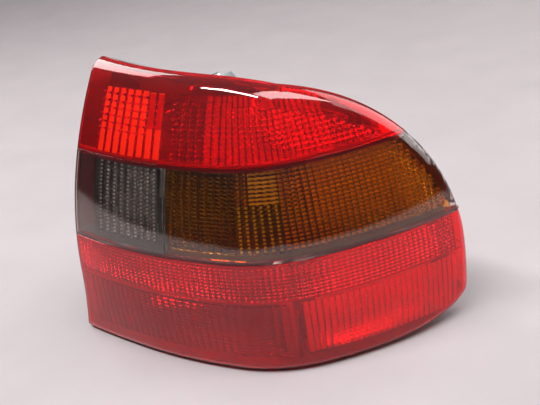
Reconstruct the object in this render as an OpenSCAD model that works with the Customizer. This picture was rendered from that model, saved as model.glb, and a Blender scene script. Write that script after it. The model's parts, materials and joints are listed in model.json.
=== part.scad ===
// Right-hand wrap-round tail light cluster of a saloon car.
// The lamp stands on its lower rim: +Z is up, the lens faces -Y to the rear and +X to the side of the car.
// The origin is the centre of the four mounting studs, on the outer faces of their seals.
// Those faces meet the car body.
// The lens is drawn on a run that follows its plan curve: s is the distance along that run,
// z is the height above the lower rim, and depth is the distance inwards from the outer skin.

/* [Lens outline] */
// Height of the lower red band, from the lower rim to its seam
low_band_h = 90; // [84:1:96]
// Height of the smoked band
mid_band_h = 66; // [62:1:72]
// Height of the upper red band, over its rolled rim
high_band_h = 57; // [52:1:62]
// Length of the flatter rear stretch, along the lens
rear_run = 152; // [146:1:160]
// Plan radius of the rear stretch
rear_r = 360; // [340:5:400]
// Length of the corner stretch, along the lens
corner_run = 69; // [66:1:72]
// Plan radius of the corner
corner_r = 105; // [102:1:110]
// Length of the side stretch, along the lens
side_run = 128; // [122:1:132]
// Plan radius of the side stretch
side_r = 313; // [290:1:360]
// Height of the outer tip of the lens
tip_z = 48; // [40:1:56]
// Half height of the straight edge at the tip
tip_half = 7; // [5:0.5:10]
// How far before the tip the lower edge starts to rise
toe_run = 104; // [90:1:115]
// How squarely the upper outline leaves the top edge
top_power = 4.5; // [4:0.1:5]
// How squarely the upper outline meets the tip
drop_power = 2.26; // [2.1:0.01:2.5]
// How far the lower inner corner flares out
corner_flare = 12; // [6:1:14]
// How far that corner also stands proud
corner_proud = 5; // [2:1:6]
// Height over which the corner flares
flare_h = 60; // [50:1:80]

/* [Lens section] */
// Radius of the bulge in the upright section
belly_r = 275; // [260:5:320]
// Height at which the bulge stands furthest out
belly_z = 50; // [40:1:60]
// Radius of the rolled rim
rim_r = 9; // [7:0.5:11]
// Radius of the inner upright edge
inner_edge_r = 4; // [3:0.5:6]
// Wall of the lens
lens_wall = 2.6; // [2.2:0.1:3]
// Depth of the lens walls, back to the housing
skirt = 22; // [18:1:24]
// How far the top of the lens falls from its rim to its back edge
skirt_fall = 5; // [3:0.5:6]
// How far the top edge rises to the inner end of the lens
top_rise = 4.5; // [2:0.5:6]
// Depth of the small rib behind each seam
rib_depth = 4; // [3.6:0.1:4.5]
// Thickness of that rib
rib_wall = 1.2; // [1:0.1:1.6]

/* [Lens optics] */
// Width of one flute on the rear stretch
flute_rear = 7.6; // [7:0.1:9]
// Width of one flute on the corner
flute_corner = 6; // [5:0.1:7]
// Width of one flute on the side stretch
flute_side = 4.7; // [4.5:0.1:6]
// Height of a flute above the inner wall
flute_h = 0.8; // [0.4:0.1:1]
// Plain border between the flutes and the rim
flute_border = 17; // [12:1:22]
// Wall of the amber filter and the reversing optic
filter_wall = 2; // [1.6:0.1:2.4]
// Where the divider between the inner and outer chambers stands
divider_x = 101; // [99:0.5:102]
// Gap left round parts that drop into place
fit_gap = 0.3; // [0.2:0.05:0.4]

/* [Housing] */
// Wall of the housing
housing_wall = 2.5; // [2:0.1:3]
// Back face of the housing behind the rear skin
back_y = 118; // [117:1:124]
// Drop of the housing roof from the lens to the flat back
roof_drop = 23; // [20:1:25]
// How far the flat back ends short of the end of the corner
back_inset = 45; // [42:1:47]
// Depth of the housing at the outer tip
arm_depth = 33; // [30:1:36]
// Drop of the housing roof behind the side stretch
side_drop = 12; // [10:1:16]
// Edge radius of the housing back
back_edge = 4; // [3:0.5:5]
// Thickness of the inner partitions
partition_wall = 2.4; // [2:0.1:2.8]

/* [Bulbs and reflectors] */
// Inner bulb column, across the car
bulb_in_x = 52; // [48:1:56]
// Outer bulb column, across the car
bulb_out_x = 118; // [117:0.5:119]
// Height of the lower bulbs
bulb_low_z = 43; // [42:1:46]
// How far the middle bulbs lie below the upper seam
bulb_mid_drop = 34; // [30:1:38]
// How far the upper bulbs lie below the top of the housing back
bulb_high_drop = 21; // [19:0.5:22]
// Diameter of a bulb cap
cap_d = 15; // [14.8:0.1:15.2]
// Length of a bulb cap
cap_l = 17; // [16:0.5:18]
// Diameter of the large bulb glass
glass_d = 26.5; // [25:0.5:27]
// Length of the large bulb glass
glass_l = 35; // [33:0.5:36]
// Diameter of the small bulb glass
small_glass_d = 19; // [17:0.5:20]
// Length of the small bulb glass
small_glass_l = 21; // [20:0.5:24]
// Wall of the bulb glass
glass_wall = 0.8; // [0.6:0.1:1]
// Diameter of the hole that a bulb goes in through
bulb_hole_d = 28; // [27.5:0.5:29]
// Focal length of the reflectors
focus = 20; // [18:1:24]
// Wall of the reflectors
reflector_wall = 1.6; // [1.2:0.1:2]

/* [Bulb holder] */
// Thickness of the holder plate
plate_t = 3; // [2.5:0.5:4]
// Margin of the plate round the bulb holes
plate_margin = 2; // [1.5:0.5:3]
// Thickness of the holder gasket
gasket_t = 2; // [1.5:0.5:3]
// Wall of a bulb socket
socket_wall = 3; // [2:0.5:4]
// Thickness of the contact strips
strip_t = 0.6; // [0.5:0.1:1]
// Width of the contact strips
strip_w = 4; // [3:0.5:5]
// Width of the connector shroud
plug_w = 30; // [28:1:34]
// Height of the connector shroud
plug_h = 17; // [16:1:20]
// Depth of the connector shroud
plug_l = 18; // [16:1:22]
// Wall of the connector shroud
plug_wall = 1.6; // [1.2:0.1:2]
// Number of connector pins
pin_count = 7; // [5:1:7]
// Length of a pin inside the shroud
pin_l = 9; // [8:0.5:10]

/* [Mounting] */
// How far the outer studs stand from the end of the flat back
stud_edge = 10; // [9:0.5:10.5]
// How far the upper studs lie below the top of the housing back
stud_drop = 12; // [11:0.5:14]
// Height of the lower studs
stud_low_z = 12; // [11:0.5:13]
// How far the inner studs stand from the inner end
stud_in_x = 24; // [23:0.5:25]
// Diameter of a stud
stud_d = 6; // [5:0.5:6]
// Free length of a stud
stud_l = 24; // [20:1:30]
// Diameter of a stud boss
boss_d = 14; // [12:0.5:14]
// Height of a stud boss above the housing back
boss_h = 8; // [7:0.5:10]
// Thickness of the seal round a stud
seal_t = 2; // [1:0.5:3]
// Diameter of a stud's plain shank, moulded into its boss
shank_d = 8; // [7.5:0.25:8]
// Wall of the spigot round a shank, which holds the seal
spigot_wall = 1; // [0.75:0.25:1.25]

/* [Hidden] */
$fn = 48;

// Heights of the seams between the bands, and of the whole lens
seam_low = low_band_h;
seam_high = seam_low + mid_band_h;
lens_h = seam_high + high_band_h;

// Plan curve of the lens: three arcs that run into each other
corner_end = rear_run + corner_run;
lens_run = corner_end + side_run;
function turn(run, r) = run * 180 / (PI * r);
rear_turn = turn(rear_run, rear_r);
corner_turn = turn(corner_run, corner_r);
function heading(s) =
    s <= 0 ? 0 :
    s <= rear_run ? turn(s, rear_r) :
    s <= corner_end ? rear_turn + turn(s - rear_run, corner_r) :
    rear_turn + corner_turn + turn(s - corner_end, side_r);
function along(p, h, r, a) = p + r * [sin(h + a) - sin(h), cos(h) - cos(h + a)];
corner_p = along([0, 0], 0, rear_r, rear_turn);
side_p = along(corner_p, rear_turn, corner_r, corner_turn);
function plan(s) =
    s <= 0 ? [s, 0] :
    s <= rear_run ? along([0, 0], 0, rear_r, heading(s)) :
    s <= corner_end ? along(corner_p, rear_turn, corner_r, heading(s) - rear_turn) :
    along(side_p, rear_turn + corner_turn, side_r, heading(s) - rear_turn - corner_turn);

// Upright section and the flare of the lower inner corner
function belly(z) = -(z - belly_z) * (z - belly_z) / (2 * belly_r);
function flare(z) = z >= flare_h ? 0 : pow(1 - z / flare_h, 2);
function fade(s) = s >= flare_h ? 0 : pow(1 - s / flare_h, 2);
function at(s, z, depth) =
    let (sf = s - corner_flare * flare(z) * fade(s))
    let (q = depth - belly(z) - corner_proud * flare(z) * fade(s))
    let (h = heading(sf))
    let (p = plan(sf))
    [p.x - q * sin(h), p.y + q * cos(h), z];

// Outline of the lens: its top falls a little along the rear and then far to the tip,
// and its lower edge rises to the tip
shoulder_z = tip_z + tip_half;
heel_z = tip_z - tip_half;
toe_power = 2.5;
heel_power = 3.3;
rise_power = 1.5;
function top_z(s) =
    shoulder_z
    + (lens_h - shoulder_z) * pow(max(0, 1 - pow(max(0, s) / lens_run, top_power)), 1 / drop_power)
    + top_rise * pow(max(0, 1 - max(0, s) / rear_run), rise_power);
function top_s(z) =
    lens_run * pow(1 - pow((z - shoulder_z) / (lens_h - shoulder_z), drop_power), 1 / top_power);
function bottom_z(s) =
    let (t = max(0, (s - lens_run + toe_run) / toe_run))
    heel_z * (1 - pow(max(0, 1 - pow(t, toe_power)), 1 / heel_power));
slope_step = 0.01;
function steepness(s) = (top_z(s + slope_step) - top_z(s - slope_step)) / (2 * slope_step);
function lean(s) = s >= lens_run ? 0 : 1 / sqrt(1 + pow(steepness(s), 2));

// How far the skin curls in near its edges
function curl(d, r) = d >= r ? 0 : d <= 0 ? r : r - sqrt(r * r - (r - d) * (r - d));
function edge_curl(s, z, inset) =
    let (r = rim_r - inset)
    let (a = curl((top_z(s) - inset - z) * max(0.25, lean(s)), r))
    let (b = curl(z - inset - bottom_z(s), r))
    let (c = curl(s - inset, inner_edge_r - min(inset, inner_edge_r - 0.5)))
    let (d = curl(lens_run - inset - s, r))
    norm([a, b, c, d]);
function skin(s, z, inset) = at(s, z, inset + edge_curl(s, z, inset));

// Flute edges and crests along the lens, as pairs of place and height
n_rear = round(rear_run / flute_rear);
n_corner = round(corner_run / flute_corner);
n_side = round(side_run / flute_side);
flutes = concat(
    [for (i = [1 : 2 * n_rear]) [rear_run * i / (2 * n_rear), i % 2]],
    [for (i = [1 : 2 * n_corner]) [rear_run + corner_run * i / (2 * n_corner), i % 2]],
    [for (i = [1 : 2 * n_side - 1]) [corner_end + side_run * i / (2 * n_side), i % 2]]);
function between(list, a, b) = [for (f = list) if (f[0] > a && f[0] < b) f];
function plain(list, a, b, step) =
    [for (i = [0 : step : len(list) - 1]) if (list[i][0] > a && list[i][0] < b) [list[i][0], 0]];

// A loft between an outer and an inner row of k points at each column.
// It is turned where the outer row is the back one.
function quad(a, b, c, d) = [[a, b, c], [a, c, d]];
function loft_faces(nc, k) =
    let (w = 2 * k)
    let (end = (nc - 1) * w)
    concat(
        [for (i = [0 : w : end - w], j = [0 : k - 2])
            each quad(i + j, i + j + 1, i + w + j + 1, i + w + j)],
        [for (i = [0 : w : end - w], j = [k : w - 2])
            each quad(i + j, i + w + j, i + w + j + 1, i + j + 1)],
        [for (i = [0 : w : end - w]) each quad(i, i + w, i + w + k, i + k)],
        [for (i = [0 : w : end - w]) each quad(i + k - 1, i + w - 1, i + w + w - 1, i + w + k - 1)],
        [for (j = [0 : k - 2]) each quad(j, k + j, k + j + 1, j + 1)],
        [for (j = [end : end + k - 2]) each quad(j, j + 1, k + j + 1, k + j)]);
module loft(columns, turned = false) {
    faces = loft_faces(len(columns), len(columns[0]) / 2);
    polyhedron(
        points = [for (c = columns) each c],
        faces = turned ? [for (f = faces) [f[0], f[2], f[1]]] : faces);
}

// Rows crowd towards both edges of a band
function row(t) = (1 - cos(180 * t)) / 2;

// The top of the lens falls towards its back edge
function fall(height) = min(skirt_fall, 0.3 * height);

// One column of a lens band. A closed column fills the section back to the skirt and makes an end wall
function band_column(s, crest, closed, z0, z1, on_rim0, rows) =
    let (zl = max(z0, bottom_z(s)))
    let (zh = min(z1, top_z(s)))
    let (on_rim1 = top_z(s) < z1)
    let (room = (zh - zl) * 0.3)
    let (in0 = min(on_rim0 ? lens_wall : rib_wall, room))
    let (in1 = min(on_rim1 ? lens_wall : rib_wall, room))
    let (lip0 = closed || on_rim0 ? skirt : rib_depth)
    let (lip1 = closed || on_rim1 ? skirt : rib_depth)
    let (down = on_rim1 ? fall(zh - zl) : 0)
    let (outer = [for (j = [0 : rows]) skin(s, zl + (zh - zl) * row(j / rows), 0)])
    let (inner = [for (j = [0 : rows])
        let (z = zl + in0 + (zh - zl - in0 - in1 - (closed ? down : 0)) * row(j / rows))
        let (lift = j > 0 && j < rows ? crest * flute_h : 0)
        closed ? at(s, z, skirt) : at(s, z, lens_wall + lift + edge_curl(s, z, lens_wall))])
    concat([at(s, zl, lip0)], outer, [at(s, zh - down, lip1)],
           [at(s, zl + in0, lip0)], inner, [at(s, zh - down - in1, lip1)]);
module band(z0, z1, ends, on_rim0, rows, cols) {
    start = [for (t = [0, 0.12, 0.35, 0.65, 1]) [lens_wall * t, 0, true]];
    run = [for (c = cols) [c[0], c[1], false]];
    loft([for (c = concat(start, [[lens_wall + 0.01, 0, false]], run, ends))
        band_column(c[0], c[1], c[2], z0, z1, on_rim0, rows)]);
}

// The lens is moulded in three shots that meet at the seams
tail_end = 1.5;
module lens_upper_red() {
    s1 = top_s(seam_high + tail_end);
    fluted = s1 - 30;
    color("firebrick")
        band(seam_high, lens_h + top_rise + 1, [[s1, 0, false]], false, 6,
             concat([[inner_edge_r, 0, false], [flute_border - 1, 0, false]],
                    between(flutes, flute_border, fluted),
                    plain(flutes, fluted, s1 - 1, 1)));
}
module lens_smoked_band() {
    s1 = top_s(seam_low + tail_end);
    s2 = top_s(seam_high);
    color("darkslategray")
        band(seam_low, seam_high, [[s1, 0, false]], false, 5,
             concat([[inner_edge_r, 0, false]],
                    plain(flutes, flute_border, s2 - 2, 3),
                    plain(flutes, s2 - 2, s1 - 1, 1)));
}
module lens_lower_red() {
    fluted = lens_run - 22;
    ends = [7, 4.5];
    walls = [1, 0.65, 0.35, 0.12, 0];
    color("firebrick")
        band(0, seam_low,
             concat([for (e = ends) [lens_run - e, 0, false]],
                    [[lens_run - lens_wall - 0.01, 0, false]],
                    [for (w = walls) [lens_run - lens_wall * w, 0, true]]),
             true, 6,
             concat([[inner_edge_r, 0, false], [flute_border - 1, 0, false]],
                    between(flutes, flute_border, fluted),
                    plain(flutes, fluted, lens_run - 9, 1)));
}

// The filters lie between the ribs of the lens and the partitions of the housing
filter_d = rib_depth + fit_gap;
module filter(s0, s1) {
    z0 = seam_low + fit_gap;
    cols = concat([[s0, 0]], between(flutes, s0 + 1, s1 - 1), [[s1, 0]]);
    loft([for (c = cols)
        let (z1 = min(seam_high - fit_gap, top_z(c[0]) - lens_wall - rim_r))
        let (rows = [for (j = [0 : 4]) z0 + (z1 - z0) * j / 4])
        concat([for (z = rows) at(c[0], z, filter_d)],
               [for (z = rows) at(c[0], z, filter_d + filter_wall + c[1] * flute_h)])]);
}
filter_split = 1.5;
filter_end = 9;
divider_s = rear_r * asin(divider_x / rear_r) * PI / 180;
module reversing_optic() {
    color("whitesmoke") filter(lens_wall + fit_gap + 2, divider_s - filter_split);
}
module amber_filter() {
    color("darkorange") filter(divider_s + filter_split, top_s(seam_low) - filter_end);
}

// Back boundary of the housing in plan: flat behind the rear, then slanting to the tip
function mix(a, b, t) = a + (b - a) * t;
function square_to(s) = [-sin(heading(s)), cos(heading(s))];
back_h = lens_h - roof_drop;
back_x = round(plan(corner_end).x - back_inset);
arm = plan(lens_run) + arm_depth * square_to(lens_run);
function back(s) =
    s <= housing_wall ? [s, back_y] :
    s <= corner_end ?
        [mix(housing_wall, back_x, (s - housing_wall) / (corner_end - housing_wall)), back_y] :
    mix([back_x, back_y], arm, (s - corner_end) / side_run);
function back_top(s) =
    min(back_h, top_z(s) - min(side_drop, (top_z(s) - bottom_z(s)) * 0.25));
function flat(p) = [p.x, p.y];
function toward(a, b, d) = let (v = b - a) a + v * min(1, d / max(0.001, norm(v)));
function up(p, z) = [p.x, p.y, z];
rim_d = skirt + fit_gap;
function housing_column(s, closed) =
    let (zl = bottom_z(s))
    let (zh = top_z(s) - fall(top_z(s) - zl))
    let (zr = back_top(s))
    let (q = back(s))
    let (f0 = at(s, zl, rim_d))
    let (f1 = at(s, zh, rim_d))
    let (w = min(housing_wall, (zr - zl) * 0.15))
    let (e = min(back_edge, (zr - zl) * 0.15))
    let (q0 = toward(q, flat(f0), w))
    let (q1 = toward(q, flat(f1), w))
    let (inner = [
        at(s, zl + w, rim_d),
        up(toward(q, flat(f0), e + w), zl + w),
        up(q0, zl + e + w),
        up(q0, mix(zl, zr, 0.3)),
        up((q0 + q1) / 2, mix(zl, zr, 0.5)),
        up(q1, mix(zl, zr, 0.7)),
        up(q1, zr - e - w),
        up(toward(q, flat(f1), e + w), zr - w),
        at(s, zh - w, rim_d)])
    concat(
        [f0, up(toward(q, flat(f0), e), zl), up(q, zl + e)],
        [for (t = [0.3, 0.5, 0.7]) up(q, mix(zl, zr, t))],
        [up(q, zr - e), up(toward(q, flat(f1), e), zr), f1],
        closed ? [for (j = [0 : 8]) at(s, mix(zl + w, zh - w, j / 8), rim_d)] : inner);
module housing_shell() {
    w = housing_wall;
    cols = concat([[0, true], [w, true], [w + 0.01, false]],
                  [for (c = plain(flutes, w + 3, lens_run - 12, 5)) [c[0], false]],
                  [for (e = [9, 5]) [lens_run - e, false]],
                  [[lens_run - w - 0.01, false], [lens_run - w, true], [lens_run, true]]);
    loft([for (c = cols) housing_column(c[0], c[1])], true);
}

// Bulb places, as across and up
bulb_mid_z = seam_high - bulb_mid_drop;
bulb_high_z = back_h - bulb_high_drop;
high_in = [bulb_in_x, bulb_high_z];
high_out = [bulb_out_x, bulb_high_z];
mid_in = [bulb_in_x, bulb_mid_z];
mid_out = [bulb_out_x, bulb_mid_z];
low_in = [bulb_in_x, bulb_low_z];
low_out = [bulb_out_x, bulb_low_z];
bulbs = [high_in, high_out, mid_in, mid_out, low_in, low_out];
module at_bulb(b, y) { translate([b[0], y, b[1]]) rotate([90, 0, 0]) children(); }

// Partitions split the housing into chambers, one behind each light
chamber_d = filter_d + filter_wall + flute_h + fit_gap;
bite = 1;
shelf_margin = 4;
shelf_drop = seam_high - bulb_high_z + bulb_hole_d / 2 + shelf_margin;
module shelf(z, s1, drop) {
    s0 = lens_wall + fit_gap;
    run = [for (c = plain(flutes, s0 + 2, s1 - 2, 6)) [c[0], chamber_d]];
    start = [[bite, rim_d + bite], [s0, rim_d + bite], [s0 + 0.01, chamber_d]];
    cols = concat(start, run, [[s1, chamber_d]]);
    h = partition_wall / 2;
    loft([for (c = cols)
        let (q = toward(back(c[0]), flat(at(c[0], z, rim_d)), bite))
        [at(c[0], z - h, c[1]), at(c[0], z + h, c[1]), up(q, z - drop - h), up(q, z - drop + h)]]);
}
function front_y(x, z, depth) = rear_r - sqrt(pow(rear_r - depth + belly(z), 2) - x * x);

// A slab that stands along the car, from its profile as places along the car and up
module slab(x0, x1, profile) {
    translate([x0, 0, 0]) rotate([90, 0, 90]) linear_extrude(x1 - x0) polygon(profile);
}
module upright(x, z0, z1, rear_edge) {
    rows = [for (j = [0 : 10]) mix(z0, z1, j / 10)];
    x1 = x + partition_wall / 2;
    slab(x - partition_wall / 2, x1,
         concat([for (z = rows) [front_y(x1, z, chamber_d), z]], rear_edge));
}
module high_divider() {
    top = top_z(divider_s) - skirt_fall - bite - 0.5;
    under = top_z(divider_s) - skirt_fall - lens_wall - 5 * fit_gap;
    step_y = front_y(divider_x + partition_wall / 2, lens_h, rim_d + bite);
    upright(divider_x, seam_high, under, [
        [step_y, under],
        [step_y, top],
        [back_y - back_edge - bite, back_h - bite],
        [back_y - bite, back_h - back_edge - bite],
        [back_y - bite, seam_high - shelf_drop]]);
}
module mid_divider() {
    upright(divider_x, seam_low, seam_high, [
        [back_y - bite, seam_high - shelf_drop],
        [back_y - bite, seam_low]]);
}
low_wall_y = 70;
low_split_s = corner_end - 20;
low_foot = rim_r + bite;
module low_wall(share, z0, z1) {
    t = partition_wall;
    bend = [divider_x + t / 2, low_wall_y];
    p = mix(flat(at(low_split_s, belly_z, chamber_d + 1)), bend, share);
    translate([0, 0, z0])
        linear_extrude(z1 - z0)
            polygon([p, p + [t * 0.4, t], bend + [0, t], [bend.x, back_y - bite],
                     [bend.x - t, back_y - bite], [bend.x - t, bend.y]]);
}
module low_divider() {
    low_wall(0, low_foot, seam_low - bite);
    low_wall(0.32, bite, low_foot + bite);
}

// Stud places, as across and up
stud_x = [stud_in_x, back_x - stud_edge];
stud_z = [stud_low_z, back_h - stud_drop];
face_y = back_y + boss_h;
boss_root = 2;
spigot_d = shank_d + 2 * spigot_wall;
spigot_drop = 0.5;
spigot_y = face_y + seal_t - spigot_drop;
module at_studs(y) {
    for (x = stud_x, z = stud_z)
        translate([x, y, z]) rotate([-90, 0, 0]) children();
}

// Holder plate, which covers all the bulb holes
plate_y = back_y + gasket_t;
plate_x0 = bulb_in_x - bulb_hole_d / 2 - plate_margin;
plate_x1 = bulb_out_x + bulb_hole_d / 2 + plate_margin;
plate_z0 = bulb_low_z - bulb_hole_d / 2 - plate_margin;
plate_z1 = bulb_high_z + bulb_hole_d / 2 + plate_margin;
plate_r = 6;
module plate_outline(grow) {
    r = plate_r + grow;
    hull()
        for (x = [plate_x0 + plate_r, plate_x1 - plate_r], z = [plate_z0 + plate_r, plate_z1 - plate_r])
            translate([x, z]) circle(r);
}
latch_w = 12;
latch_t = 2.4;
latch_hook = 1.8;
latch_z = [mix(plate_z0, plate_z1, 0.36), mix(plate_z0, plate_z1, 0.77)];
module latch(side) {
    x = side < 0 ? plate_x0 - fit_gap : plate_x1 + fit_gap;
    top = plate_y + plate_t + fit_gap;
    for (z = latch_z)
        translate([x, 0, z - latch_w / 2])
            linear_extrude(latch_w)
                polygon([[0, back_y - bite], [side * latch_t, back_y - bite], [side * latch_t, top + 1],
                         [side * latch_t / 2, top + 3], [-side * latch_hook, top], [0, top]]);
}

// Locating lug on the sloping roof, behind the lens
lug_x = 95;
lug_l = 10;
lug_w = 10;
lug_z = lens_h - 9.5;
lug_root = 11;
module roof_lug() {
    translate([lug_x, back_y - 2 * lug_l, lug_z])
        rotate([-90, 0, 0])
            linear_extrude(lug_l)
                hull() {
                    translate([-lug_w / 2, lug_root - 1]) square([lug_w, 1]);
                    translate([-lug_w / 2, 3]) square([lug_w, 1]);
                    translate([0, lug_w / 4]) circle(d = lug_w / 2);
                }
}
breather_x = 16;
breather_z = bulb_mid_z - 14;
breather_d = 8;
breather_h = 5;
module housing() {
    color("dimgray")
        difference() {
            union() {
                housing_shell();
                shelf(seam_high, top_s(seam_high + 16), shelf_drop);
                shelf(seam_low, top_s(seam_low + 40), 0);
                high_divider();
                mid_divider();
                low_divider();
                at_studs(back_y - boss_root) cylinder(d = boss_d, h = boss_root + boss_h);
                at_studs(face_y - bite) cylinder(d = spigot_d, h = spigot_y - face_y + bite);
                translate([breather_x, back_y - bite, breather_z])
                    rotate([-90, 0, 0]) cylinder(d = breather_d, h = breather_h + bite);
                latch(-1);
                latch(1);
                roof_lug();
            }
            for (b = bulbs)
                at_bulb(b, back_y + 1) cylinder(d = bulb_hole_d, h = housing_wall + 4);
            at_studs(back_y) cylinder(d = shank_d, h = boss_h + seal_t);
            translate([breather_x, back_y - housing_wall - 2, breather_z])
                rotate([-90, 0, 0]) cylinder(d = breather_d / 2, h = breather_h + housing_wall + 3);
        }
}

// A reflector is a bowl cut to the walls of its chamber
bowl_r0 = bulb_hole_d / 2;
bowl_r1 = 96;
bowl_l = 74;
bowl_y = back_y - housing_wall - fit_gap;
function bowl_rise(r) = (r * r - bowl_r0 * bowl_r0) / (4 * focus);
module bowl(b, x0, x1, profile) {
    steps = 12;
    front = [for (i = [0 : steps]) let (r = mix(bowl_r0, bowl_r1, i / steps)) [r, bowl_rise(r)]];
    intersection() {
        translate([b[0], bowl_y, b[1]])
            rotate([90, 0, 0])
                rotate_extrude($fn = 96)
                    polygon(concat(front, [for (i = [steps : -1 : 0]) front[i] + [0, reflector_wall]]));
        slab(x0, x1, profile);
    }
}
room = partition_wall / 2 + fit_gap;
inner_x = housing_wall + fit_gap + 2;
wall_in = divider_x - room;
wall_out = divider_x + room;
bowl_x1 = back_x - stud_edge;
bowl_top_gap = 15;
mouth_y = back_y - bowl_l;
roof_z = back_h - housing_wall - fit_gap - back_edge;
roof_slope = 0.5;
bowl_top = lens_h - bowl_top_gap;
high_room = [
    [mouth_y, seam_high + room],
    [back_y, seam_high - shelf_drop + room + 1],
    [back_y, roof_z],
    [bowl_y, roof_z],
    [bowl_y - (bowl_top - roof_z) / roof_slope, bowl_top],
    [mouth_y, bowl_top]];
mid_room = [
    [mouth_y, seam_low + room],
    [back_y, seam_low + room],
    [back_y, seam_high - shelf_drop - room],
    [mouth_y, seam_high - shelf_drop - room]];
low_room = [
    [mouth_y, housing_wall + fit_gap + back_edge],
    [back_y, housing_wall + fit_gap + back_edge],
    [back_y, seam_low - room],
    [mouth_y, seam_low - room]];
module stop_reflector() { color("silver") bowl(high_in, inner_x, wall_in, high_room); }
module tail_reflector() { color("silver") bowl(high_out, wall_out, bowl_x1, high_room); }
module reversing_reflector() { color("silver") bowl(mid_in, inner_x, wall_in, mid_room); }
module indicator_reflector() { color("silver") bowl(mid_out, wall_out, bowl_x1, mid_room); }
module fog_reflector() { color("silver") bowl(low_in, inner_x, wall_in, low_room); }
module side_tail_reflector() { color("silver") bowl(low_out, wall_out, bowl_x1, low_room); }

// The side mirrors line the slanting back wall behind the side stretch
module side_mirror(z0, z1, s1) {
    a = corner_end + 4;
    n = 9;
    d0 = housing_wall + fit_gap;
    loft([for (i = [0 : n])
        let (s = a + (s1 - a) * i / n)
        let (zt = min(z1, back_top(s) - housing_wall - back_edge - 2))
        let (zb = max(z0, bottom_z(s) + housing_wall + back_edge + 1))
        let (c = at(s, zt, rim_d + 3))
        let (p = toward(back(s), flat(c), d0))
        let (q = toward(back(s), flat(c), d0 + reflector_wall))
        [up(p, zb), up(p, zt), up(q, zb), up(q, zt)]], true);
}
module upper_side_mirror() {
    color("silver") side_mirror(seam_high - shelf_drop + room + 1, lens_h, top_s(seam_high + 32));
}
module middle_side_mirror() {
    color("silver") side_mirror(seam_low + room, seam_high - shelf_drop - room, top_s(seam_low + 45));
}
module lower_side_mirror() { color("silver") side_mirror(0, seam_low - room, lens_run - 14); }

// Bulbs: a brass cap, a hollow glass and a filament on two posts
cap_y = plate_y;
glass_base = 3;
module bulb_cap(b) {
    color("goldenrod")
        at_bulb(b, cap_y) {
            difference() {
                cylinder(d = cap_d, h = cap_l);
                translate([0, 0, cap_l - glass_base]) cylinder(d = cap_d - 2, h = glass_base + 1);
            }
        }
}
function ball(r, a) = [r * cos(a), r * sin(a)];
module bulb_glass(b, d, l) {
    neck = cap_d / 2 - 1 - fit_gap;
    r = d / 2;
    mid = l + glass_base - r;
    function profile(w) = concat(
        [[0, w], [neck - w, w], [neck - w, glass_base + 1 + w / 2], [r - w, glass_base + 9 + w / 2]],
        [for (a = [0 : 15 : 75]) ball(r - w, a) + [0, mid]],
        [[0, mid + r - w]]);
    color("lightcyan", 0.5)
        at_bulb(b, cap_y - cap_l + glass_base)
            rotate_extrude()
                difference() {
                    polygon(profile(0));
                    polygon(profile(glass_wall));
                }
}
post_x = 3.5;
post_r = 0.4;
post_h = 16;
coil_r = 0.7;
module filament(b) {
    at_bulb(b, cap_y - cap_l + glass_base - glass_wall) {
        for (x = [-post_x, post_x])
            translate([x, 0, 0]) cylinder(r = post_r, h = post_h, $fn = 16);
        translate([-post_x, 0, post_h]) rotate([0, 90, 0]) cylinder(r = coil_r, h = 2 * post_x, $fn = 16);
    }
}
module stop_bulb_cap() { bulb_cap(high_in); }
module stop_bulb_glass() { bulb_glass(high_in, glass_d, glass_l); }
module tail_bulb_cap() { bulb_cap(high_out); }
module tail_bulb_glass() { bulb_glass(high_out, small_glass_d, small_glass_l); }
module reversing_bulb_cap() { bulb_cap(mid_in); }
module reversing_bulb_glass() { bulb_glass(mid_in, glass_d, glass_l); }
module indicator_bulb_cap() { bulb_cap(mid_out); }
module indicator_bulb_glass() { bulb_glass(mid_out, glass_d, glass_l); }
module fog_bulb_cap() { bulb_cap(low_in); }
module fog_bulb_glass() { bulb_glass(low_in, glass_d, glass_l); }
module side_tail_bulb_cap() { bulb_cap(low_out); }
module side_tail_bulb_glass() { bulb_glass(low_out, small_glass_d, small_glass_l); }
module bulb_filaments() { color("silver") for (b = bulbs) filament(b); }

// Bulb holder with its sockets and the connector shroud
plug_x = (bulb_in_x + bulb_out_x) / 2;
plug_z = (bulb_low_z + bulb_mid_z) / 2;
socket_l = cap_l - 2;
plate_face = plate_y + plate_t;
module plug_box(grow, y0, l) {
    translate([plug_x - plug_w / 2 - grow, y0, plug_z - plug_h / 2 - grow])
        cube([plug_w + 2 * grow, l, plug_h + 2 * grow]);
}
module bulb_holder() {
    color("lightgray")
        difference() {
            union() {
                translate([0, plate_face, 0]) rotate([90, 0, 0]) linear_extrude(plate_t) plate_outline(0);
                for (b = bulbs)
                    at_bulb(b, plate_y + 1)
                        cylinder(d = cap_d + 2 * fit_gap + 2 * socket_wall, h = socket_l + 1);
                plug_box(0, plate_y + 1, plug_l + plate_t - 1);
            }
            for (b = bulbs)
                at_bulb(b, plate_y) cylinder(d = cap_d + 2 * fit_gap, h = socket_l + 1);
            plug_box(-plug_wall, plate_face, plug_l + 1);
        }
}
module holder_gasket() {
    color("black")
        translate([0, plate_y, 0])
            rotate([90, 0, 0])
                linear_extrude(gasket_t)
                    difference() {
                        plate_outline(0);
                        for (b = bulbs) translate(b) circle(d = bulb_hole_d);
                    }
}

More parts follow.
